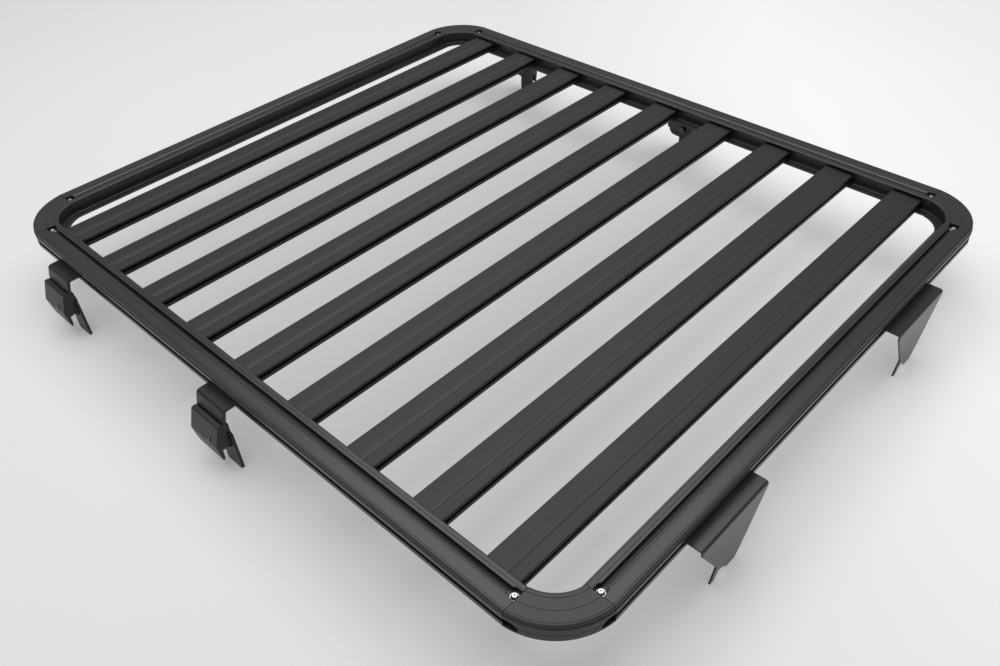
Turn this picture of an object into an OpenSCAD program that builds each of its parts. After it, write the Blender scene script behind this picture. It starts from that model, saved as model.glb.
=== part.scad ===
// Flat platform roof rack: a four-rail frame with rounded cast corners, nine
// cross slats, four clamp feet along the sides and two folded front brackets.
// Lengths in mm. Z is up, the floor is z = 0, slats run along X, front is -Y.

/* [Frame] */
// Outside width of the frame, across the vehicle
frame_width = 1218; // [1160:1:1300]
// Outside length of the frame, along the vehicle
frame_length = 1395; // [1360:1:1500]
// Height of the rail section
rail_height = 30; // [28:0.5:34]
// Width of the rail section, outer side to the edge of its ledge
rail_width = 60; // [58:0.5:64]
// Outer radius of a corner casting
corner_radius = 112; // [106:1:125]
// Distance of the joints of a casting from the corner of the frame
corner_reach = 97; // [90:1:105]
// Height of the rail tops above the floor
deck_height = 154; // [150:1:165]

/* [Rail section] */
// Wall of the rail extrusion
rail_wall = 2.5; // [2:0.1:3]
// Thickness of the ledge that the slats lie on
ledge_thickness = 4; // [3:0.1:5]
// Thickness of the top lip over the slat ends
lip_thickness = 4; // [3.5:0.1:4.5]
// Distance of the lip edge from the outer side
lip_reach = 48; // [46:0.5:50]
// Distance of the inner wall from the outer side
wall_reach = 40.5; // [40:0.1:42]
// Width of the slot along the rail top
top_slot_width = 6; // [5:0.1:7]
// Distance of the top slot centre from the outer side
top_slot_offset = 32; // [31.5:0.1:32.5]
// Height of the slot along the outer side
side_slot_height = 8; // [7:0.5:9.5]
// Rounding of the outer top edge
edge_rounding = 3; // [2.5:0.1:3.5]

/* [Slats] */
// Distance of the first and the last slat centre from the frame ends
end_slat_distance = 141.9; // [130:0.1:150]
// Width of a slat
slat_width = 58.5; // [56:0.5:64]
// Height of a slat
slat_height = 18; // [17:0.1:20]
// Depth of the scoop in a slat top, below its rear land
scoop_depth = 0.9; // [0.7:0.1:2]

/* [Feet] */
// Distance of the rear feet from the rear end of the frame
rear_foot_inset = 199.5; // [180:0.5:260]
// Distance of the middle feet behind the frame centre
mid_foot_distance = 3; // [-20:1:40]
// Length of a foot along the rail
foot_length = 72; // [68:1:80]
// Sheet thickness of a foot bracket
foot_sheet = 6; // [5:0.1:6.5]
// Reach of the bend of a foot bracket outside the rail
foot_reach = 21; // [20:0.5:24]
// Outward lean of the lower part of a foot bracket, in degrees
foot_lean = 14; // [12:0.5:16]
// Depth of a clamp jaw at its top, in to out
jaw_depth = 11; // [10:0.5:13]
// Thickness of a leg plate
leg_thickness = 5; // [4:0.1:6]
// Width of a leg plate along the rail
leg_width = 40; // [36:0.5:44]
// Diameter of a foot bolt
bolt_diameter = 8; // [7:0.5:9]

/* [Front brackets] */
// Distance of a front bracket centre from the side of the frame
front_bracket_inset = 329; // [290:1:370]
// Width of a front bracket at its flange
front_bracket_width = 160; // [150:1:170]
// Reach of a front bracket outside the rail
front_reach = 23.5; // [20:0.5:28]
// Inward lean of the upright plate of a front bracket, in degrees
front_lean = 1.8; // [0.5:0.1:3]
// Sheet thickness of a front bracket
front_sheet = 3; // [2.5:0.1:4]

/* [Hidden] */
$fn = 48;
half_width = frame_width / 2;
half_length = frame_length / 2;
rail_z = deck_height - rail_height;
// The overhang of the front brackets moves the frame back, to keep the whole part centred
y_shift = front_reach / 2;
side_rail_length = frame_length - 2 * corner_reach;
cross_rail_length = frame_width - 2 * corner_reach;
// Distance of a casting's arc centre from the outer faces, and of its joints from that centre
corner_centre = (corner_reach + sqrt(2 * pow(corner_radius, 2) - pow(corner_reach, 2))) / 2;
corner_joint = corner_centre - corner_reach;

lip_rounding = 3;
lip_z = rail_height - lip_thickness;
groove_width = 0.6;
groove_depth = 0.5;
groove_offsets = [5.5, 22.5, 39.8];
slot_lip = 3;
top_cavity_width = 2 * top_slot_width;
top_cavity_floor = rail_height - 8.5;
ramp_drop = 2;
side_slot_z = 7;
side_cavity_margin = 2.5;
side_slot_lip = 2.5;
side_cavity_depth = 8;
scoop_low = 22;
scoop_mid = 24.2;
scoop_in = 2.4;
edge_inset = 1.2;
ledge_step = 46.8;
ledge_drop = 0.8;
casting_groove_z = 10.5;

screw_pocket_radius = 8.5;
screw_pocket_offset = 29.5;
screw_pocket_inset = 8;
screw_offset = 29.2;
screw_inset = 6.4;
screw_head_radius = 5.25;
screw_head_height = 3.3;
screw_shank_radius = 3;
screw_hex = 4;
screw_socket_depth = 2;
screw_length = 12;
screw_bore_radius = 3.2;
washer_radius = 6;
washer_thickness = 1.6;
pocket_top = 17;
pocket_floor = 2.5;
pocket_run = 9;
pocket_radius = 12;
pocket_depth = side_cavity_depth;

slat_pitch = (frame_length - 2 * end_slat_distance) / 8;
slat_fit = 1;
slat_half_length = half_width - wall_reach - slat_fit;
slat_z = rail_z + ledge_thickness;
slat_edge = 2;
slat_slot_z = 6;
slat_slot_height = 7;
slat_slot_lip = 2;
slat_cavity_depth = 7;
slat_cavity_margin = 1.5;
slat_wall = 2.5;
scoop_start = 20.2;
scoop_length = 16;
scoop_groove = 0.8;
front_land_drop = 0.5;

rear_foot_distance = half_length - rear_foot_inset;
flange_reach = 45;
foot_bend = 8;
bracket_bottom = deck_height - 103.5;
jaw_top = deck_height - 55.5;
jaw_crease = deck_height - 92;
jaw_bottom = deck_height - 124.5;
jaw_spread = 10;
jaw_nose = 5;
jaw_rounding = 4;
jaw_corner = 20;
leg_reach = 21;
leg_overhang = 10.5;
leg_toe = 6;
leg_top = deck_height - 79;
leg_rounding = 5;
seat_top = deck_height - 62;
seat_bottom = deck_height - 102;
seat_chamfer = 8;
bolt_z = deck_height - 88;
bolt_offset = -14;
bolt_clearance = 0.3;
bolt_end = 1;
bolt_head_height = 5.5;
bolt_head_across = 13;

front_bracket_distance = half_width - front_bracket_inset;
front_flange_reach = 45;
front_bend = 5;

// Points of an arc, n + 1 of them, from angle a to angle b
function arc(cx, cy, r, a, b, n = 6) =
    [for (i = [0 : n]) let (t = a + (b - a) * i / n) [cx + r * cos(t), cy + r * sin(t)]];

// Points of one fine groove in a top surface, from left to right
function groove(u, top) = [
    [u - groove_width / 2, top], [u - groove_width / 2, top - groove_depth],
    [u + groove_width / 2, top - groove_depth], [u + groove_width / 2, top]];

// Points of the T shaped slot in the outer side of the rail, from low to high
function side_slot() = let (z0 = side_slot_z, z1 = side_slot_z + side_slot_height) [
    [0, z0], [side_slot_lip, z0], [side_slot_lip, z0 - side_cavity_margin],
    [side_cavity_depth, z0 - side_cavity_margin],
    [side_cavity_depth, z1 + side_cavity_margin],
    [side_slot_lip, z1 + side_cavity_margin], [side_slot_lip, z1], [0, z1]];

// Scoop above the side slot, then the rounded top edge that overhangs it
function outer_top() = concat(
    [[0, scoop_low], [scoop_in * 0.75, scoop_low + 0.8], [scoop_in, scoop_mid],
     [scoop_in * 0.85, scoop_mid + 1.3]],
    arc(edge_inset + edge_rounding, rail_height - edge_rounding, edge_rounding, 200, 90));

// Inner side: rounded lip edge, inner wall and ledge, which drops a little before its edge
function inner_side() = concat(
    arc(lip_reach - lip_rounding, rail_height - lip_rounding, lip_rounding, 90, 0, 5),
    [[lip_reach, lip_z], [wall_reach, lip_z], [wall_reach, ledge_thickness],
     [ledge_step, ledge_thickness], [ledge_step + ledge_drop, ledge_thickness - ledge_drop],
     [rail_width, ledge_thickness - ledge_drop], [rail_width, 0]]);

// T shaped slot in the rail top with the ramp that leads down to it
function top_slot() = let (
    u0 = top_slot_offset - top_slot_width / 2, u1 = top_slot_offset + top_slot_width / 2,
    c0 = top_slot_offset - top_cavity_width / 2, c1 = top_slot_offset + top_cavity_width / 2,
    ramp = u0 - groove_offsets[1] - groove_width / 2) [
    [u0 - ramp * 0.66, rail_height - ramp_drop * 0.16],
    [u0 - ramp * 0.33, rail_height - ramp_drop * 0.5],
    [u0, rail_height - ramp_drop], [u0, rail_height - slot_lip],
    [c0, rail_height - slot_lip], [c0, top_cavity_floor],
    [c1, top_cavity_floor], [c1, rail_height - slot_lip],
    [u1, rail_height - slot_lip], [u1, rail_height]];

// Section of a rail: x runs inward from the outer side, y upward from the bottom
module rail_section() {
    difference() {
        polygon(concat([[0, 0]], side_slot(), outer_top(),
            groove(groove_offsets[0], rail_height), groove(groove_offsets[1], rail_height),
            top_slot(), groove(groove_offsets[2], rail_height), inner_side()));
        translate([side_cavity_depth + rail_wall, rail_wall])
            square([top_slot_offset - top_cavity_width / 2 - side_cavity_depth - 2 * rail_wall,
                    rail_height - 2 * rail_wall - ramp_drop]);
        translate([top_slot_offset - top_cavity_width / 2, rail_wall])
            square([top_cavity_width, top_cavity_floor - 2 * rail_wall]);
    }
}

// Fine V shaped groove along the outer side of a casting
function side_groove(z) = [[0, z - groove_width], [groove_depth * 1.5, z], [0, z + groove_width]];

// Section of a corner casting: the rail outline without its slots
module corner_section() {
    translate([corner_radius, 0]) mirror([1, 0])
        polygon(concat([[0, 0]], side_groove(casting_groove_z), outer_top(),
            groove(groove_offsets[0], rail_height), groove(groove_offsets[1], rail_height),
            groove(groove_offsets[2], rail_height), inner_side()));
}

// Round pocket milled at the end screw of a rail and open to the rail end, with the screw bore
module screw_pocket() {
    r = screw_pocket_radius;
    translate([screw_pocket_offset, 0, top_cavity_floor]) {
        translate([0, screw_pocket_inset, 0]) cylinder(r = r, h = rail_height);
        translate([-r, -1, 0]) cube([2 * r, screw_pocket_inset + 1, rail_height]);
    }
    translate([screw_offset, screw_inset, top_cavity_floor - screw_length])
        cylinder(r = screw_bore_radius, h = screw_length + 1);
}

// One rail, centred along Y, with its outer side at x = 0 and facing -X
module rail(length) {
    difference() {
        rotate([90, 0, 0]) linear_extrude(height = length, center = true) rail_section();
        translate([0, -length / 2, 0]) screw_pocket();
        mirror([0, 1, 0]) translate([0, -length / 2, 0]) screw_pocket();
    }
}

// Pocket low in the outer side, where the side slot of the rail runs out in the casting
module side_pocket() {
    translate([corner_centre - pocket_depth, corner_joint, 0]) rotate([90, 0, 90])
        linear_extrude(height = 2 * pocket_depth)
            polygon(concat([[-1, pocket_floor], [-1, pocket_top]],
                arc(pocket_run, pocket_top - pocket_radius, pocket_radius, 90, 0, 8),
                [[pocket_run + pocket_radius, pocket_floor]]));
}

// One corner casting: an arc round the origin, cut square at its two joints
module corner() {
    difference() {
        intersection() {
            rotate_extrude(angle = 90) corner_section();
            translate([corner_joint, corner_joint, -1])
                cube([corner_radius, corner_radius, rail_height + 2]);
        }
        side_pocket();
        mirror([-1, 1, 0]) side_pocket();
    }
}

// Places its child at the corner of quadrant q, counted from rear right
module at_corner(q) {
    sx = (q == 0 || q == 3) ? 1 : -1;
    sy = (q < 2) ? 1 : -1;
    translate([sx * (half_width - corner_centre), sy * (half_length - corner_centre) + y_shift,
               rail_z])
        rotate([0, 0, 90 * q]) children();
}

module rail_left() {
    color("DimGray") translate([-half_width, y_shift, rail_z]) rail(side_rail_length);
}

module rail_right() {
    color("DimGray") translate([half_width, y_shift, rail_z]) mirror([1, 0, 0])
        rail(side_rail_length);
}

module rail_front() {
    color("DimGray") translate([0, y_shift - half_length, rail_z]) rotate([0, 0, 90])
        rail(cross_rail_length);
}

module rail_rear() {
    color("DimGray") translate([0, y_shift + half_length, rail_z]) rotate([0, 0, -90])
        rail(cross_rail_length);
}

module corner_rear_right() { color("Gray") at_corner(0) corner(); }
module corner_rear_left() { color("Gray") at_corner(1) corner(); }
module corner_front_left() { color("Gray") at_corner(2) corner(); }
module corner_front_right() { color("Gray") at_corner(3) corner(); }

// Side slot of a slat, low to high, at its near side
function slat_slot() = let (z0 = slat_slot_z, z1 = slat_slot_z + slat_slot_height) [
    [0, z0], [slat_slot_lip, z0], [slat_slot_lip, z0 - slat_cavity_margin],
    [slat_cavity_depth, z0 - slat_cavity_margin],
    [slat_cavity_depth, z1 + slat_cavity_margin],
    [slat_slot_lip, z1 + slat_cavity_margin], [slat_slot_lip, z1], [0, z1]];

// The same slot at the far side, high to low
function slat_slot_far() = let (s = slat_slot())
    [for (i = [len(s) - 1 : -1 : 0]) [slat_width - s[i][0], s[i][1]]];

// Section of a slat: x runs rearward from the front side, y upward from the bottom. Its top has
// a land, a fine groove and a scoop that rises from the groove to a slightly higher land.
module slat_section() {
    land = slat_height - front_land_drop;
    low = slat_height - scoop_depth;
    s0 = scoop_start + scoop_groove;
    difference() {
        polygon(concat([[0, 0]], slat_slot(),
            arc(slat_edge, land - slat_edge, slat_edge, 180, 90, 4),
            [[scoop_start, land], [scoop_start, low - scoop_groove], [s0, low - scoop_groove],
             [s0, low], [scoop_start + scoop_length * 0.75, slat_height - scoop_depth * 0.15],
             [scoop_start + scoop_length * 0.9, slat_height - scoop_depth * 0.02],
             [scoop_start + scoop_length, slat_height]],
            arc(slat_width - slat_edge, slat_height - slat_edge, slat_edge, 90, 0, 4),
            slat_slot_far(), [[slat_width, 0]]));
        translate([slat_cavity_depth + slat_wall, slat_wall])
            square([slat_width - 2 * (slat_cavity_depth + slat_wall),
                    slat_height - scoop_depth - scoop_groove - 2 * slat_wall]);
    }
}

// Slat number i, counted from the front
module slat(i) {
    color("DarkSlateGray")
        translate([-slat_half_length, (i - 5) * slat_pitch - slat_width / 2 + y_shift, slat_z])
            rotate([90, 0, 90]) linear_extrude(height = 2 * slat_half_length) slat_section();
}

// Distance from the rail side to the outer face of a foot bracket, at height h
function foot_face(h) = foot_reach - foot_bend * (1 - cos(foot_lean))
    + (rail_z - foot_bend * (1 - sin(foot_lean)) - h) * tan(foot_lean);

// The same for its inner face
function foot_inner(h) = foot_face(h) - foot_sheet / cos(foot_lean);

// Section of a folded foot bracket: x runs outward from the rail side, y is height
module foot_bracket_section() {
    polygon(concat([[-flange_reach, rail_z]],
        arc(foot_reach - foot_bend, rail_z - foot_bend, foot_bend, 90, foot_lean, 8),
        [[foot_face(bracket_bottom), bracket_bottom], [foot_inner(bracket_bottom), bracket_bottom]],
        arc(foot_reach - foot_bend, rail_z - foot_bend, foot_bend - foot_sheet, foot_lean, 90, 8),
        [[-flange_reach, rail_z - foot_sheet]]));
}

// Bolt bore along the outward axis, through everything at the height of the bolt
module bolt_bore() {
    translate([0, bolt_offset, bolt_z]) rotate([0, 90, 0])
        cylinder(r = bolt_diameter / 2 + bolt_clearance, h = 2 * flange_reach);
}

// Folded bracket of one foot, centred along Y, reaching outward along +X
module foot_bracket() {
    difference() {
        rotate([90, 0, 0]) linear_extrude(height = foot_length, center = true)
            foot_bracket_section();
        bolt_bore();
    }
}

// Distance from the rail side to the outer face of a jaw, at height h above its crease
function jaw_face(h) = foot_face(jaw_top) + jaw_depth
    + jaw_spread * (jaw_top - h) / (jaw_top - jaw_crease);

// Section of a clamp jaw: rounded lip, spreading outer face, crease and nose
module jaw_section() {
    lip = jaw_face(jaw_top) - jaw_rounding;
    tip = jaw_face(jaw_crease) - jaw_nose;
    polygon(concat(
        [[foot_face(bracket_bottom), bracket_bottom], [foot_face(jaw_top - 2), jaw_top - 2],
         [foot_face(jaw_top) + 2, jaw_top]],
        arc(lip, jaw_top - jaw_rounding, jaw_rounding, 90, 15, 5),
        [[jaw_face(jaw_crease + 1), jaw_crease + 1], [jaw_face(jaw_crease), jaw_crease - 1],
         [tip, jaw_bottom + 1.5], [tip - 1.5, jaw_bottom], [foot_face(bracket_bottom), jaw_bottom + 4]]));
}

// Side outline of a jaw, with its lower rear corner rounded away
module jaw_outline() {
    l = foot_length / 2;
    polygon(concat([[-l, 0], [-l, deck_height], [l, deck_height]],
        arc(l - jaw_corner, jaw_bottom + jaw_corner, jaw_corner, 0, -90, 8), [[0, jaw_bottom]],
        [[0, 0]]));
}

// Outer clamp jaw, lying on the outer face of the bracket
module foot_jaw() {
    difference() {
        intersection() {
            rotate([90, 0, 0]) linear_extrude(height = foot_length, center = true) jaw_section();
            rotate([90, 0, 90]) linear_extrude(height = 2 * flange_reach) jaw_outline();
        }
        bolt_bore();
    }
}

// Leg plate down to the floor, with a wedge on top that seats on the leaning bracket
module foot_leg() {
    y0 = -foot_length / 2 - leg_overhang;
    y1 = y0 + leg_width;
    x0 = leg_reach - leg_thickness;
    difference() {
        union() {
            translate([x0, 0, 0]) rotate([90, 0, 90]) linear_extrude(height = leg_thickness)
                polygon(concat([[y0 + 2, 0], [y0, 2.5]],
                    arc(y0 + leg_toe + leg_rounding, leg_top - leg_rounding, leg_rounding, 170, 90),
                    [[y1, leg_top], [y1, 2], [y1 - 2, 0]]));
            translate([0, y1, 0]) rotate([90, 0, 0])
                linear_extrude(height = y1 + foot_length / 2 - 2)
                    polygon([[x0, seat_bottom], [leg_reach, seat_bottom - seat_chamfer],
                        [foot_inner(seat_bottom), seat_bottom], [foot_inner(seat_top), seat_top],
                        [x0, seat_top]]);
        }
        bolt_bore();
    }
}

// Hexagon head bolt of one foot, its head on the inner side of the leg plate
module foot_bolt() {
    x0 = leg_reach - leg_thickness;
    translate([x0, bolt_offset, bolt_z]) rotate([0, 90, 0]) {
        translate([0, 0, -bolt_head_height])
            cylinder(r = bolt_head_across / sqrt(3), h = bolt_head_height, $fn = 6);
        cylinder(r = bolt_diameter / 2, h = jaw_face(bolt_z) + bolt_end - x0);
    }
}

// Places its child at a left foot, with the outward direction along -X
module at_left_foot(y) {
    translate([-half_width, y + y_shift, 0]) mirror([1, 0, 0]) children();
}

// Places its child at a right foot, with the outward direction along +X
module at_right_foot(y) {
    translate([half_width, y + y_shift, 0]) children();
}

module foot_bracket_rear_left() { color("SlateGray") at_left_foot(rear_foot_distance) foot_bracket(); }
module foot_bracket_mid_left() { color("SlateGray") at_left_foot(mid_foot_distance) foot_bracket(); }
module foot_bracket_rear_right() { color("SlateGray") at_right_foot(rear_foot_distance) foot_bracket(); }
module foot_bracket_mid_right() { color("SlateGray") at_right_foot(mid_foot_distance) foot_bracket(); }

module foot_jaw_rear_left() { color("Gray") at_left_foot(rear_foot_distance) foot_jaw(); }
module foot_jaw_mid_left() { color("Gray") at_left_foot(mid_foot_distance) foot_jaw(); }
module foot_jaw_rear_right() { color("Gray") at_right_foot(rear_foot_distance) foot_jaw(); }
module foot_jaw_mid_right() { color("Gray") at_right_foot(mid_foot_distance) foot_jaw(); }

module foot_leg_rear_left() { color("LightSlateGray") at_left_foot(rear_foot_distance) foot_leg(); }
module foot_leg_mid_left() { color("LightSlateGray") at_left_foot(mid_foot_distance) foot_leg(); }
module foot_leg_rear_right() { color("LightSlateGray") at_right_foot(rear_foot_distance) foot_leg(); }
module foot_leg_mid_right() { color("LightSlateGray") at_right_foot(mid_foot_distance) foot_leg(); }

// The four foot bolts
module foot_bolts() {
    color("Silver") {
        at_left_foot(rear_foot_distance) foot_bolt();
        at_left_foot(mid_foot_distance) foot_bolt();
        at_right_foot(rear_foot_distance) foot_bolt();
        at_right_foot(mid_foot_distance) foot_bolt();
    }
}

// Outline of a front bracket seen from the front, with two prongs: x across, y is height
module front_outline() {
    w = front_bracket_width / 2;
    shoulder = rail_z - 2 * front_bend;
    polygon([[-w, shoulder], [-w, rail_z + 1], [w, rail_z + 1], [w, shoulder], [43, 29], [30, 3],
             [27, 0], [7, 0], [2, 7], [-7, 14], [-17, 17], [-25, 0], [-35, 0], [-26, 32]]);
}

// Section of a front bracket: x runs outward from the rail side, y is height
module front_section() {
    c = front_reach - front_bend;
    z = rail_z - front_bend;
    drop = z - front_bend * sin(front_lean);
    face = c + front_bend * cos(front_lean) - drop * tan(front_lean);
    polygon(concat([[-front_flange_reach, rail_z]],
        arc(c, z, front_bend, 90, -front_lean, 8),
        [[face, 0], [face - front_sheet / cos(front_lean), 0]],
        arc(c, z, front_bend - front_sheet, -front_lean, 90, 8),
        [[-front_flange_reach, rail_z - front_sheet]]));
}

// One folded front bracket: a flange below the rail and a tapering upright plate
module front_bracket() {
    w = front_bracket_width;
    translate([0, y_shift - half_length, 0]) intersection() {
        translate([w / 2, 0, 0]) rotate([90, 0, -90]) linear_extrude(height = w) front_section();
        translate([0, 2 * front_flange_reach, 0]) rotate([90, 0, 0])
            linear_extrude(height = 4 * front_flange_reach) front_outline();
    }
}

module front_bracket_left() {
    color("SlateGray") translate([-front_bracket_distance, 0, 0]) front_bracket();
}

module front_bracket_right() {
    color("SlateGray") translate([front_bracket_distance, 0, 0]) front_bracket();
}

// Round head screw with a hexagon socket, standing on its washer in a rail pocket
module corner_screw() {
    floor_z = rail_z + top_cavity_floor;
    z0 = floor_z + washer_thickness;
    difference() {
        union() {
            translate([0, 0, floor_z]) cylinder(r = washer_radius, h = washer_thickness);
            translate([0, 0, z0]) cylinder(r1 = screw_head_radius, r2 = screw_head_radius * 0.62,
                                           h = screw_head_height);
            translate([0, 0, floor_z - screw_length])
                cylinder(r = screw_shank_radius, h = screw_length + 1);
        }
        translate([0, 0, z0 + screw_head_height - screw_socket_depth])
            cylinder(r = screw_hex / sqrt(3), h = screw_socket_depth + 1, $fn = 6);
    }
}

// The eight screws at the rail ends
module corner_screws() {
    x_side = half_width - screw_offset;
    y_side = side_rail_length / 2 - screw_inset;
    x_cross = cross_rail_length / 2 - screw_inset;
    y_cross = half_length - screw_offset;
    color("Silver") translate([0, y_shift, 0])
        for (sx = [-1, 1], sy = [-1, 1]) {
            translate([sx * x_side, sy * y_side, 0]) corner_screw();
            translate([sx * x_cross, sy * y_cross, 0]) corner_screw();
        }
}

rail_left();
rail_right();
rail_front();
rail_rear();
corner_front_left();
corner_front_right();
corner_rear_left();
corner_rear_right();
slat(1);  // slat_1
slat(2);  // slat_2
slat(3);  // slat_3
slat(4);  // slat_4
slat(5);  // slat_5
slat(6);  // slat_6
slat(7);  // slat_7
slat(8);  // slat_8
slat(9);  // slat_9
foot_bracket_mid_left();
foot_bracket_mid_right();
foot_bracket_rear_left();
foot_bracket_rear_right();
foot_jaw_mid_left();
foot_jaw_mid_right();
foot_jaw_rear_left();
foot_jaw_rear_right();
foot_leg_mid_left();
foot_leg_mid_right();
foot_leg_rear_left();
foot_leg_rear_right();
foot_bolts();
front_bracket_left();
front_bracket_right();
corner_screws();
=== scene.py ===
"""Looks of a flat platform roof rack: coats, steel, floor, light and camera.

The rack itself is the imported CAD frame, and this script adds no piece to it. It gives every part
its finish and sets up the studio. Lengths are in metres, Z is up and Y points to the rear.
"""

from __future__ import annotations

import logging
from dataclasses import dataclass
from enum import Enum

import bmesh
import bpy
from mathutils import Matrix, Vector

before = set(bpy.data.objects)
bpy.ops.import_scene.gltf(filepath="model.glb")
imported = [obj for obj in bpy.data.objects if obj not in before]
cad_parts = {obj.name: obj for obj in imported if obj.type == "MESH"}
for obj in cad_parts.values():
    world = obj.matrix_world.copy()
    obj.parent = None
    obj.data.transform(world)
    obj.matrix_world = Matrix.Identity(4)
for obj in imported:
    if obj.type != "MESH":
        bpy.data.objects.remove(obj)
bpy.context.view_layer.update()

log = logging.getLogger("roof_rack")

Socket = bpy.types.NodeSocket
Span = tuple[float, float]
Colour = tuple[float, float, float]
Place = tuple[float, float, float]

# Parts of a pattern's range, or of a level's, that a material spreads over its own range
FULL_SPAN: Span = (0.0, 1.0)
CLOUD_SPAN: Span = (0.3, 0.7)
LINE_SPAN: Span = (0.35, 0.65)
GRAIN_SPAN: Span = (0.25, 0.75)

BEVEL_SAMPLES = 4
WHITE = (1.0, 1.0, 1.0, 1.0)


class Axis(Enum):
    """A level axis of the shared frame, with its place in a vector."""

    X = 0
    Y = 1


def around(middle: float, sway: float) -> Span:
    """Gives the range around a middle value.

    Args:
        middle: the middle value.
        sway: distance of both ends from it.

    Returns:
        The lower and the upper end.
    """
    return middle - sway, middle + sway


class Recipe:
    """A material under construction, with short ways to add and join its nodes."""

    def __init__(self, name: str) -> None:
        """Starts an empty material.

        Args:
            name: name of the material.
        """
        self.material = bpy.data.materials.new(name)
        self.material.use_nodes = True
        self.tree = self.material.node_tree
        self.tree.nodes.clear()

    def node(self, kind: str, **settings: object) -> bpy.types.Node:
        """Adds one node and sets its properties.

        Args:
            kind: the node's type, without the prefix ShaderNode.
            **settings: properties of the node.

        Returns:
            The new node.
        """
        made = self.tree.nodes.new("ShaderNode" + kind)
        for key, value in settings.items():
            setattr(made, key, value)
        return made

    def join(self, source: Socket, target: Socket) -> None:
        """Links two sockets.

        Args:
            source: the output socket.
            target: the input socket.
        """
        self.tree.links.new(source, target)

    def place(self) -> Socket:
        """Adds the coordinates on the part.

        Returns:
            The coordinates, which are those of the shared frame.
        """
        return self.node("TexCoord").outputs["Object"]

    def coordinate(self, place: Socket, axis: Axis) -> Socket:
        """Adds one of the coordinates by itself.

        Args:
            place: the coordinates on the part.
            axis: the axis of the coordinate.

        Returns:
            The coordinate.
        """
        made = self.node("SeparateXYZ")
        self.join(place, made.inputs["Vector"])
        return made.outputs[axis.name]

    def noise(self, place: Socket, scale: float, detail: float,
              roughness: float = 0.5) -> Socket:
        """Adds a noise pattern.

        Args:
            place: coordinates of the pattern.
            scale: cells for each metre.
            detail: number of finer layers.
            roughness: weight of the finer layers.

        Returns:
            The pattern's value, from 0 to 1.
        """
        made = self.node("TexNoise")
        made.inputs["Scale"].default_value = scale
        made.inputs["Detail"].default_value = detail
        made.inputs["Roughness"].default_value = roughness
        self.join(place, made.inputs["Vector"])
        return made.outputs["Fac"]

    def spread(self, value: Socket, source: Span, target: Span) -> Socket:
        """Maps a value from one range to another, held at both ends.

        Args:
            value: the value to map.
            source: the range it comes from.
            target: the range it goes to.

        Returns:
            The mapped value.
        """
        made = self.node("MapRange", clamp=True)
        keys = ("From Min", "From Max", "To Min", "To Max")
        for key, number in zip(keys, source + target):
            made.inputs[key].default_value = number
        self.join(value, made.inputs["Value"])
        return made.outputs["Result"]

    def reckon(self, operation: str, first: Socket | float,
               second: Socket | float = 0.0) -> Socket:
        """Adds a calculation with one or two terms.

        Args:
            operation: the operation of a Math node.
            first: first term, a socket or a number.
            second: second term, a socket or a number.

        Returns:
            The result.
        """
        made = self.node("Math", operation=operation)
        for socket, term in zip(made.inputs, (first, second)):
            if isinstance(term, (int, float)):
                socket.default_value = term
            else:
                self.join(term, socket)
        return made.outputs["Value"]

    def tint(self, colour: Colour, factor: Socket) -> Socket:
        """Multiplies a fixed colour by a varying factor.

        Args:
            colour: the colour at factor 1.
            factor: the factor.

        Returns:
            The tinted colour.
        """
        made = self.node("VectorMath", operation="SCALE")
        made.inputs[0].default_value = colour
        self.join(factor, made.inputs["Scale"])
        return made.outputs["Vector"]

    def soft_edges(self, radius: float) -> Socket:
        """Rounds the edges of the part to the eye.

        Args:
            radius: radius of the rounding.

        Returns:
            The rounded normal.
        """
        made = self.node("Bevel", samples=BEVEL_SAMPLES)
        made.inputs["Radius"].default_value = radius
        return made.outputs["Normal"]

    def relief(self, normal: Socket, height: Socket, depth: float,
               strength: float = 1.0) -> Socket:
        """Turns a pattern into surface relief.

        Args:
            normal: the normal that it builds on.
            height: the pattern.
            depth: height of the relief at full strength.
            strength: how much of it shows.

        Returns:
            The changed normal.
        """
        made = self.node("Bump")
        made.inputs["Strength"].default_value = strength
        made.inputs["Distance"].default_value = depth
        self.join(height, made.inputs["Height"])
        self.join(normal, made.inputs["Normal"])
        return made.outputs["Normal"]

    def finish(self, surface: Socket) -> bpy.types.Material:
        """Joins the surface to the material's output.

        Args:
            surface: the finished shader.

        Returns:
            The finished material.
        """
        out = self.node("OutputMaterial")
        self.join(surface, out.inputs["Surface"])
        return self.material


@dataclass(frozen=True)
class Seam:
    """The two seams where the rails of one pair butt against the corner castings, darkened with
    painted shade.

    Attributes:
        axis: the axis along which the two seams lie apart.
        middle: the place midway between them.
        reach: distance of each seam from the middle.
        half_width: distance from the middle of a seam to the flat surface beside it.
        floor_share: share of the half width that is the bottom of the seam.
        depth: depth of the seam.
        shade: brightness at the bottom, as a share of the coat's; a painted shade for the shadow
            in the crack.
        roughness: lowest roughness at the bottom.
    """

    axis: Axis
    middle: float
    reach: float
    half_width: float = 0.00045
    floor_share: float = 0.3
    depth: float = 0.0006
    shade: float = 0.1
    roughness: float = 0.95

    def level(self, recipe: Recipe, place: Socket) -> Socket:
        """Adds the level of the surface across the seams.

        Args:
            recipe: the material under construction.
            place: coordinates on the part.

        Returns:
            The level, 0 at the bottom of a seam and 1 on the surface beside it.
        """
        across = recipe.reckon("SUBTRACT", recipe.coordinate(place, self.axis), self.middle)
        across = recipe.reckon("SUBTRACT", recipe.reckon("ABSOLUTE", across), self.reach)
        away = recipe.reckon("ABSOLUTE", across)
        side = (self.floor_share * self.half_width, self.half_width)
        return recipe.spread(away, side, FULL_SPAN)


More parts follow.
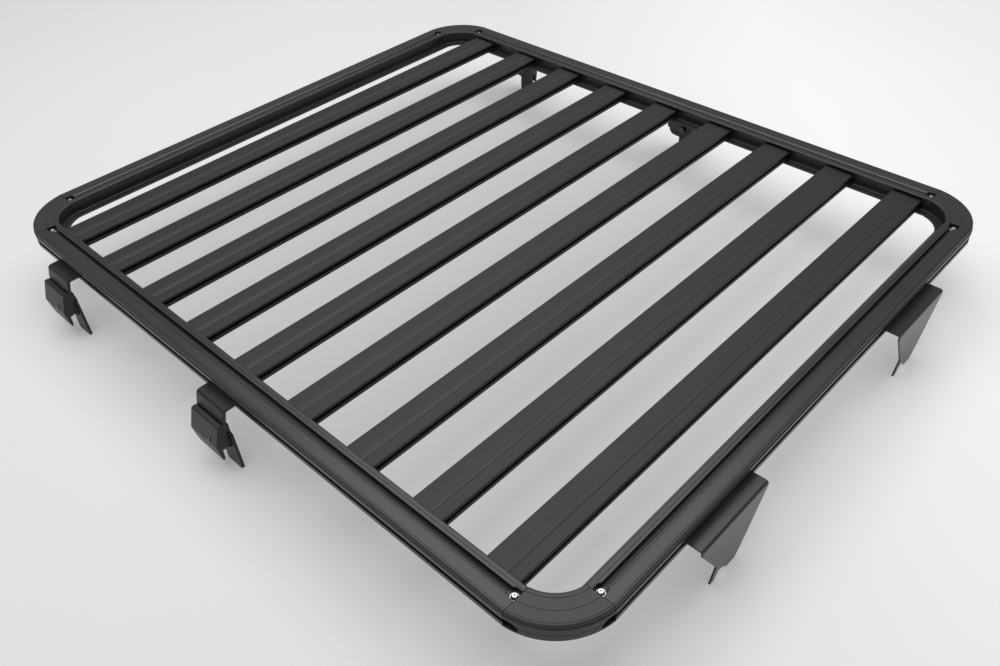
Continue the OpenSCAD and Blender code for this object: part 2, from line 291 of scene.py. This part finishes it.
@dataclass(frozen=True)
class Scoops:
    """The shallow scoop behind the fine groove of every slat, with a painted highlight where it
    rises.

    Attributes:
        first_front: place of the front side of the first slat.
        pitch: distance from one slat to the next.
        start: distance of the scoop's start from the front side of its slat.
        end: distance of the scoop's end from there.
        rise: height that the surface gains from start to end.
        lift: brightness at the start, as a multiple of the coat's; a painted highlight for the
            light that the rising surface catches.
    """

    first_front: float = -0.5731
    pitch: float = 0.1389
    start: float = 0.0210
    end: float = 0.0340
    rise: float = 0.0012
    lift: float = 2.1

    def level(self, recipe: Recipe, place: Socket) -> Socket:
        """Adds the rise of the slat tops behind their groove, steep first and then fading out.

        Args:
            recipe: the material under construction.
            place: coordinates on the part.

        Returns:
            The level, 0 just behind the groove and 1 on both lands.
        """
        behind = recipe.reckon("SUBTRACT", recipe.coordinate(place, Axis.Y), self.first_front)
        across = recipe.reckon("MODULO", behind, self.pitch)
        left = recipe.spread(across, (self.start, self.end), (1.0, 0.0))
        inside = recipe.reckon("GREATER_THAN", across, self.start)
        slope = recipe.reckon("MULTIPLY", left, inside)
        return recipe.reckon("SUBTRACT", 1.0, recipe.reckon("MULTIPLY", slope, left))


@dataclass(frozen=True)
class PowderCoat:
    """Satin black powder coat over metal, with fine grain and softly rounded edges.

    Attributes:
        name: name of the material.
        colour: mean colour.
        roughness: mean roughness.
        ior: refractive index of the coat.
        cloud_scale: cells for each metre of the soft clouds in its shade.
        cloud_detail: number of finer layers of the clouds.
        mottle: change of shade by the clouds.
        cloud_gloss: change of roughness by the clouds.
        grain: cells for each metre of the coat's grain.
        grain_detail: number of finer layers of the grain.
        grain_weight: weight of those layers.
        grain_shade: change of shade by the grain.
        grain_depth: height of the grain's relief.
        grain_strength: how much of that relief shows.
        run: the axis along which an extruded part runs, or None without die lines.
        line_scale: cells for each metre across the die lines.
        line_stretch: cells for each metre along them.
        line_detail: number of finer layers of the die lines.
        streak: change of shade by the die lines.
        streak_gloss: change of roughness by them, as a share of the streak.
        edge_radius: radius of the rounded edges.
        seams: the seams that cross the part, with their painted shade.
        scoops: the scoops of the slats, with their relief and their painted highlight, or None on
            other parts.
    """

    name: str
    colour: Colour
    roughness: float
    ior: float = 1.5
    cloud_scale: float = 9.0
    cloud_detail: float = 3.0
    mottle: float = 0.10
    cloud_gloss: float = 0.03
    grain: float = 700.0
    grain_detail: float = 2.0
    grain_weight: float = 0.6
    grain_shade: float = 0.12
    grain_depth: float = 0.00006
    grain_strength: float = 0.35
    run: Axis | None = None
    line_scale: float = 260.0
    line_stretch: float = 1.2
    line_detail: float = 2.0
    streak: float = 0.10
    streak_gloss: float = 0.4
    edge_radius: float = 0.0006
    seams: tuple[Seam, ...] = ()
    scoops: Scoops | None = None

    def make(self) -> bpy.types.Material:
        """Builds the material.

        Returns:
            The finished material.
        """
        recipe = Recipe(self.name)
        place = recipe.place()
        shader = recipe.node("BsdfPrincipled")
        shader.inputs["Metallic"].default_value = 0.0
        shader.inputs["IOR"].default_value = self.ior
        cloud = recipe.noise(place, self.cloud_scale, self.cloud_detail)
        shade = recipe.spread(cloud, CLOUD_SPAN, around(1.0, self.mottle))
        rough = recipe.spread(cloud, CLOUD_SPAN, around(self.roughness, self.cloud_gloss))
        if self.run is not None:
            lines = self.die_lines(recipe, place)
            shade = recipe.reckon("MULTIPLY", shade, recipe.spread(
                lines, LINE_SPAN, around(1.0, self.streak)))
            rough = recipe.reckon("ADD", rough, recipe.spread(
                lines, LINE_SPAN, around(0.0, self.streak_gloss * self.streak)))
        specks = recipe.noise(place, self.grain, self.grain_detail, self.grain_weight)
        shade = recipe.reckon("MULTIPLY", shade, recipe.spread(
            specks, GRAIN_SPAN, around(1.0, self.grain_shade)))
        normal = recipe.relief(recipe.soft_edges(self.edge_radius), specks, self.grain_depth,
                               self.grain_strength)
        if self.scoops is not None:
            # Painted highlight: each slat top is brightened where its scoop starts to rise, fading
            # out towards the lands; the relief is the scoop's shape.
            level = self.scoops.level(recipe, place)
            shade = recipe.reckon("MULTIPLY", shade, recipe.spread(
                level, FULL_SPAN, (self.scoops.lift, 1.0)))
            normal = recipe.relief(normal, level, self.scoops.rise)
        for seam in self.seams:
            # Painted shade: each seam is darkened towards its bottom for the shadow in the crack
            # between rail and casting; its roughness and relief are its shape.
            level = seam.level(recipe, place)
            shade = recipe.reckon("MULTIPLY", shade, recipe.spread(
                level, FULL_SPAN, (seam.shade, 1.0)))
            rough = recipe.reckon("MAXIMUM", rough, recipe.spread(
                level, FULL_SPAN, (seam.roughness, 0.0)))
            normal = recipe.relief(normal, level, seam.depth)
        recipe.join(recipe.tint(self.colour, shade), shader.inputs["Base Color"])
        recipe.join(rough, shader.inputs["Roughness"])
        recipe.join(normal, shader.inputs["Normal"])
        return recipe.finish(shader.outputs["BSDF"])

    def die_lines(self, recipe: Recipe, place: Socket) -> Socket:
        """Adds the faint lines that an extrusion die leaves along a part.

        Args:
            recipe: the material under construction.
            place: coordinates on the part.

        Returns:
            The pattern of the lines, from 0 to 1.
        """
        scales = [self.line_scale] * 3
        scales[self.run.value] = self.line_stretch
        stretch = recipe.node("Mapping")
        stretch.inputs["Scale"].default_value = scales
        recipe.join(place, stretch.inputs["Vector"])
        return recipe.noise(stretch.outputs["Vector"], 1.0, self.line_detail)


@dataclass(frozen=True)
class TurnedSteel:
    """Plain steel with fine tool marks.

    Attributes:
        name: name of the material.
        colour: mean colour.
        roughness: usual roughness.
        mark_scale: cells for each metre of the tool marks.
        mark_detail: number of finer layers of the marks.
        smoother: loss of roughness where the marks are finest.
        rougher: rise of roughness where they are coarsest.
        mark_depth: height of the marks' relief.
        mark_strength: how much of that relief shows.
        cloud_scale: cells for each metre of the clouds in its shade.
        cloud_detail: number of finer layers of the clouds.
        cloud_shade: brightness by the clouds, as shares of the colour.
        edge_radius: radius of the rounded edges.
    """

    name: str
    colour: Colour
    roughness: float
    mark_scale: float = 1500.0
    mark_detail: float = 3.0
    smoother: float = 0.06
    rougher: float = 0.08
    mark_depth: float = 0.00003
    mark_strength: float = 0.3
    cloud_scale: float = 220.0
    cloud_detail: float = 2.0
    cloud_shade: Span = (0.85, 1.1)
    edge_radius: float = 0.0004

    def make(self) -> bpy.types.Material:
        """Builds the material.

        Returns:
            The finished material.
        """
        recipe = Recipe(self.name)
        place = recipe.place()
        shader = recipe.node("BsdfPrincipled")
        shader.inputs["Metallic"].default_value = 1.0
        marks = recipe.noise(place, self.mark_scale, self.mark_detail)
        sway = (self.roughness - self.smoother, self.roughness + self.rougher)
        recipe.join(recipe.spread(marks, CLOUD_SPAN, sway), shader.inputs["Roughness"])
        cloud = recipe.noise(place, self.cloud_scale, self.cloud_detail)
        shade = recipe.spread(cloud, CLOUD_SPAN, self.cloud_shade)
        recipe.join(recipe.tint(self.colour, shade), shader.inputs["Base Color"])
        normal = recipe.relief(recipe.soft_edges(self.edge_radius), marks, self.mark_depth,
                               self.mark_strength)
        recipe.join(normal, shader.inputs["Normal"])
        return recipe.finish(shader.outputs["BSDF"])


# Seams between rails and castings; their darkening is painted shade.
SIDE_SEAM = Seam(Axis.Y, middle=0.01175, reach=0.6005)
CROSS_SEAM = Seam(Axis.X, middle=0.0, reach=0.512)

RAIL_BLACK: Colour = (0.024, 0.024, 0.0245)
RAIL_ROUGHNESS = 0.33
SIDE_RAIL_COAT = PowderCoat("coat_rail_side", RAIL_BLACK, RAIL_ROUGHNESS, run=Axis.Y,
                            seams=(SIDE_SEAM,))
CROSS_RAIL_COAT = PowderCoat("coat_rail_cross", RAIL_BLACK, RAIL_ROUGHNESS, run=Axis.X,
                             seams=(CROSS_SEAM,))
SLAT_COAT = PowderCoat("coat_slat", colour=(0.0125, 0.0125, 0.0130), roughness=0.56,
                       run=Axis.X, scoops=Scoops())
CASTING_COAT = PowderCoat("coat_casting", colour=(0.022, 0.022, 0.0225), roughness=0.46,
                          mottle=0.12, grain=520.0, grain_depth=0.0001,
                          seams=(SIDE_SEAM, CROSS_SEAM))
BRACKET_COAT = PowderCoat("coat_bracket", colour=(0.021, 0.021, 0.0215), roughness=0.30,
                          grain=820.0)
FOOT_COAT = PowderCoat("coat_foot", colour=(0.012, 0.012, 0.0125), roughness=0.44, grain=820.0)
SCREW_STEEL = TurnedSteel("steel_screws", colour=(0.82, 0.82, 0.83), roughness=0.40)
# Painted shade: the bolt steel is made dark to stand in for the shade in the jaws' bolt holes.
BOLT_SHADED_STEEL = TurnedSteel("steel_bolts_painted_shade", colour=(0.10, 0.10, 0.105), roughness=0.42)


@dataclass(frozen=True)
class Deck:
    """The rails, corner castings and slats, dressed in their coats.

    Attributes:
        slats: number of slats.
        corners: names of the corners.
    """

    slats: int = 9
    corners: tuple[str, ...] = ("front_left", "front_right", "rear_left", "rear_right")

    def dress(self) -> None:
        """Gives every deck part its coat and the corner screws their steel."""
        paint(SIDE_RAIL_COAT.make(), "rail_left", "rail_right")
        paint(CROSS_RAIL_COAT.make(), "rail_front", "rail_rear")
        paint(SLAT_COAT.make(), *(f"slat_{i + 1}" for i in range(self.slats)))
        paint(CASTING_COAT.make(), *(f"corner_{corner}" for corner in self.corners))
        paint(SCREW_STEEL.make(), "corner_screws")


@dataclass(frozen=True)
class Supports:
    """The four clamp feet with their bolts, and the two folded front brackets.

    Attributes:
        feet: names of the feet.
        foot_parts: names of the parts of each foot.
    """

    feet: tuple[str, ...] = ("mid_left", "mid_right", "rear_left", "rear_right")
    foot_parts: tuple[str, ...] = ("bracket", "jaw", "leg")

    def dress(self) -> None:
        """Gives every support its coat and the foot bolts a steel darkened with painted shade."""
        paint(BRACKET_COAT.make(), "front_bracket_left", "front_bracket_right")
        paint(FOOT_COAT.make(),
              *(f"foot_{part}_{foot}" for foot in self.feet for part in self.foot_parts))
        paint(BOLT_SHADED_STEEL.make(), "foot_bolts")


@dataclass(frozen=True)
class Studio:
    """Pale floor, overhead soft light and the camera.

    Attributes:
        floor_size: length of each side of the floor.
        floor_shade: colour of the floor.
        floor_roughness: roughness of the floor.
        floor_gloss: strength of its reflections.
        floor_glow: share of the floor's look that is its own glow.
        glow_level: brightness of that glow.
        painted_light_way: direction in which the floor is painted paler, as painted light for more
            light falling on that side.
        painted_light_span: distances that way at which that painted light starts and ends to grow.
        painted_light_gain: brightness at the end of the painted light, as a multiple of that at
            the start.
        cloud_scale: cells for each metre of the clouds in the floor's shade.
        cloud_detail: number of finer layers of the clouds.
        cloud_shade: change of shade by the clouds.
        lamp_place: middle of the lamp.
        lamp_size: width and length of the lamp.
        lamp_power: power of the lamp in watts.
        sky: strength of the even light from all round.
        backdrop: strength of the backdrop behind the floor, which only the camera sees.
        camera_place: place of the camera.
        camera_forward: direction in which it looks.
        camera_up: its upward direction.
        camera_reach: distance up to which it sees.
        focal_pixels: focal length in pixels of the picture.
        picture_width: width of the picture in pixels.
        sensor: width of the sensor in millimetres.
        pixel_centre: shift in pixels from a pixel's corner to its middle.
    """

    floor_size: float = 60.0
    floor_shade: Colour = (0.80, 0.80, 0.80)
    floor_roughness: float = 0.7
    floor_gloss: float = 0.2
    floor_glow: float = 0.27
    glow_level: float = 0.85
    # Painted light on the floor: paler towards the front right.
    painted_light_way: Place = (0.7, -0.7, 0.0)
    painted_light_span: Span = (0.1, 0.8)
    painted_light_gain: float = 1.2
    cloud_scale: float = 1.5
    cloud_detail: float = 2.0
    cloud_shade: float = 0.01
    lamp_place: Place = (0.25, 0.45, 2.7)
    lamp_size: Span = (3.6, 3.3)
    lamp_power: float = 80.0
    sky: float = 0.32
    backdrop: float = 0.52
    camera_place: Place = (-1.03453, -1.02980, 1.12724)
    camera_forward: Place = (0.53470, 0.53157, -0.65691)
    camera_up: Place = (0.49606, 0.43189, 0.75326)
    camera_reach: float = 60.0
    focal_pixels: float = 926.57
    picture_width: int = 1000
    sensor: float = 36.0
    pixel_centre: float = 0.5

    def build(self) -> None:
        """Makes the floor, the lights and the camera."""
        self.lay_floor()
        self.hang_lamp()
        self.light_sky()
        self.place_camera()

    def lay_floor(self) -> None:
        """Lays the pale floor at the level of the feet."""
        shape = bmesh.new()
        bmesh.ops.create_grid(shape, x_segments=1, y_segments=1, size=self.floor_size / 2)
        floor = mesh_object("studio_floor", shape)
        floor.data.materials.append(self.floor_paint())

    def floor_paint(self) -> bpy.types.Material:
        """Builds the floor's paint: its glow shows to the eye and in reflections only, and its
        paler side is painted light.

        Returns:
            The finished material.
        """
        recipe = Recipe("floor_paint")
        place = recipe.place()
        shader = recipe.node("BsdfPrincipled")
        shader.inputs["Roughness"].default_value = self.floor_roughness
        shader.inputs["Specular IOR Level"].default_value = self.floor_gloss
        # Painted light: the floor's colour grows paler towards one side, standing in for more
        # light falling there.
        way = recipe.node("VectorMath", operation="DOT_PRODUCT")
        way.inputs[1].default_value = self.painted_light_way
        recipe.join(place, way.inputs[0])
        painted_light_factor = recipe.spread(way.outputs["Value"], self.painted_light_span, (1.0, self.painted_light_gain))
        cloud = recipe.spread(recipe.noise(place, self.cloud_scale, self.cloud_detail),
                              CLOUD_SPAN, around(1.0, self.cloud_shade))
        recipe.join(recipe.tint(self.floor_shade, recipe.reckon("MULTIPLY", cloud, painted_light_factor)),
                    shader.inputs["Base Color"])
        path = recipe.node("LightPath")
        seen = recipe.reckon("MAXIMUM", path.outputs["Is Camera Ray"], recipe.reckon(
            "MAXIMUM", path.outputs["Is Glossy Ray"], path.outputs["Is Transmission Ray"]))
        glow = recipe.node("Emission")
        # Painted light: the glow grows paler on the same side as the floor's colour.
        recipe.join(recipe.reckon("MULTIPLY", painted_light_factor, self.glow_level), glow.inputs["Strength"])
        blend = recipe.node("MixShader")
        recipe.join(recipe.reckon("MULTIPLY", seen, self.floor_glow), blend.inputs["Fac"])
        recipe.join(shader.outputs["BSDF"], blend.inputs[1])
        recipe.join(glow.outputs["Emission"], blend.inputs[2])
        return recipe.finish(blend.outputs["Shader"])

    def hang_lamp(self) -> None:
        """Hangs one large soft lamp over the rack."""
        data = bpy.data.lights.new("overhead_softbox", "AREA")
        data.shape = "RECTANGLE"
        data.size, data.size_y = self.lamp_size
        data.energy = self.lamp_power
        lamp = bpy.data.objects.new("overhead_softbox", data)
        lamp.location = self.lamp_place
        bpy.context.scene.collection.objects.link(lamp)

    def light_sky(self) -> None:
        """Fills the room with even, weaker light before a pale backdrop."""
        world = bpy.data.worlds.new("room")
        world.use_nodes = True
        tree = world.node_tree
        back = tree.nodes["Background"]
        back.inputs["Color"].default_value = WHITE
        path = tree.nodes.new("ShaderNodeLightPath")
        level = tree.nodes.new("ShaderNodeMapRange")
        level.inputs["To Min"].default_value = self.sky
        level.inputs["To Max"].default_value = self.backdrop
        tree.links.new(path.outputs["Is Camera Ray"], level.inputs["Value"])
        tree.links.new(level.outputs["Result"], back.inputs["Strength"])
        bpy.context.scene.world = world
        bpy.context.scene.view_settings.view_transform = "Standard"

    def place_camera(self) -> None:
        """Places the camera at the viewpoint of the photograph."""
        data = bpy.data.cameras.new("viewpoint")
        data.sensor_width = self.sensor
        data.lens = self.focal_pixels * self.sensor / self.picture_width
        data.shift_x = -self.pixel_centre / self.picture_width
        data.shift_y = self.pixel_centre / self.picture_width
        data.clip_end = self.camera_reach
        camera = bpy.data.objects.new("viewpoint", data)
        forward = Vector(self.camera_forward).normalized()
        right = forward.cross(Vector(self.camera_up)).normalized()
        up = right.cross(forward)
        turn = Matrix((right, up, -forward)).transposed().to_4x4()
        camera.matrix_world = Matrix.Translation(self.camera_place) @ turn
        bpy.context.scene.collection.objects.link(camera)
        bpy.context.scene.camera = camera


def mesh_object(name: str, shape: bmesh.types.BMesh) -> bpy.types.Object:
    """Turns a bmesh into an object in the scene.

    Args:
        name: name of the object.
        shape: the mesh, which is freed.

    Returns:
        The new object.
    """
    mesh = bpy.data.meshes.new(name)
    shape.to_mesh(mesh)
    shape.free()
    made = bpy.data.objects.new(name, mesh)
    bpy.context.scene.collection.objects.link(made)
    return made


def paint(material: bpy.types.Material, *nodes: str) -> None:
    """Gives CAD parts a material in every slot.

    Args:
        material: the finish.
        *nodes: names of the parts.
    """
    for name in nodes:
        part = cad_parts[name]
        if not part.material_slots:
            part.data.materials.append(material)
        for slot in part.material_slots:
            slot.material = material
        log.info("painted %s with %s", name, material.name)


def main() -> None:
    """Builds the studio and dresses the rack."""
    logging.basicConfig(level=logging.INFO, format="%(name)s: %(message)s")
    Studio().build()
    Deck().dress()
    Supports().dress()


if __name__ == "__main__":
    main()
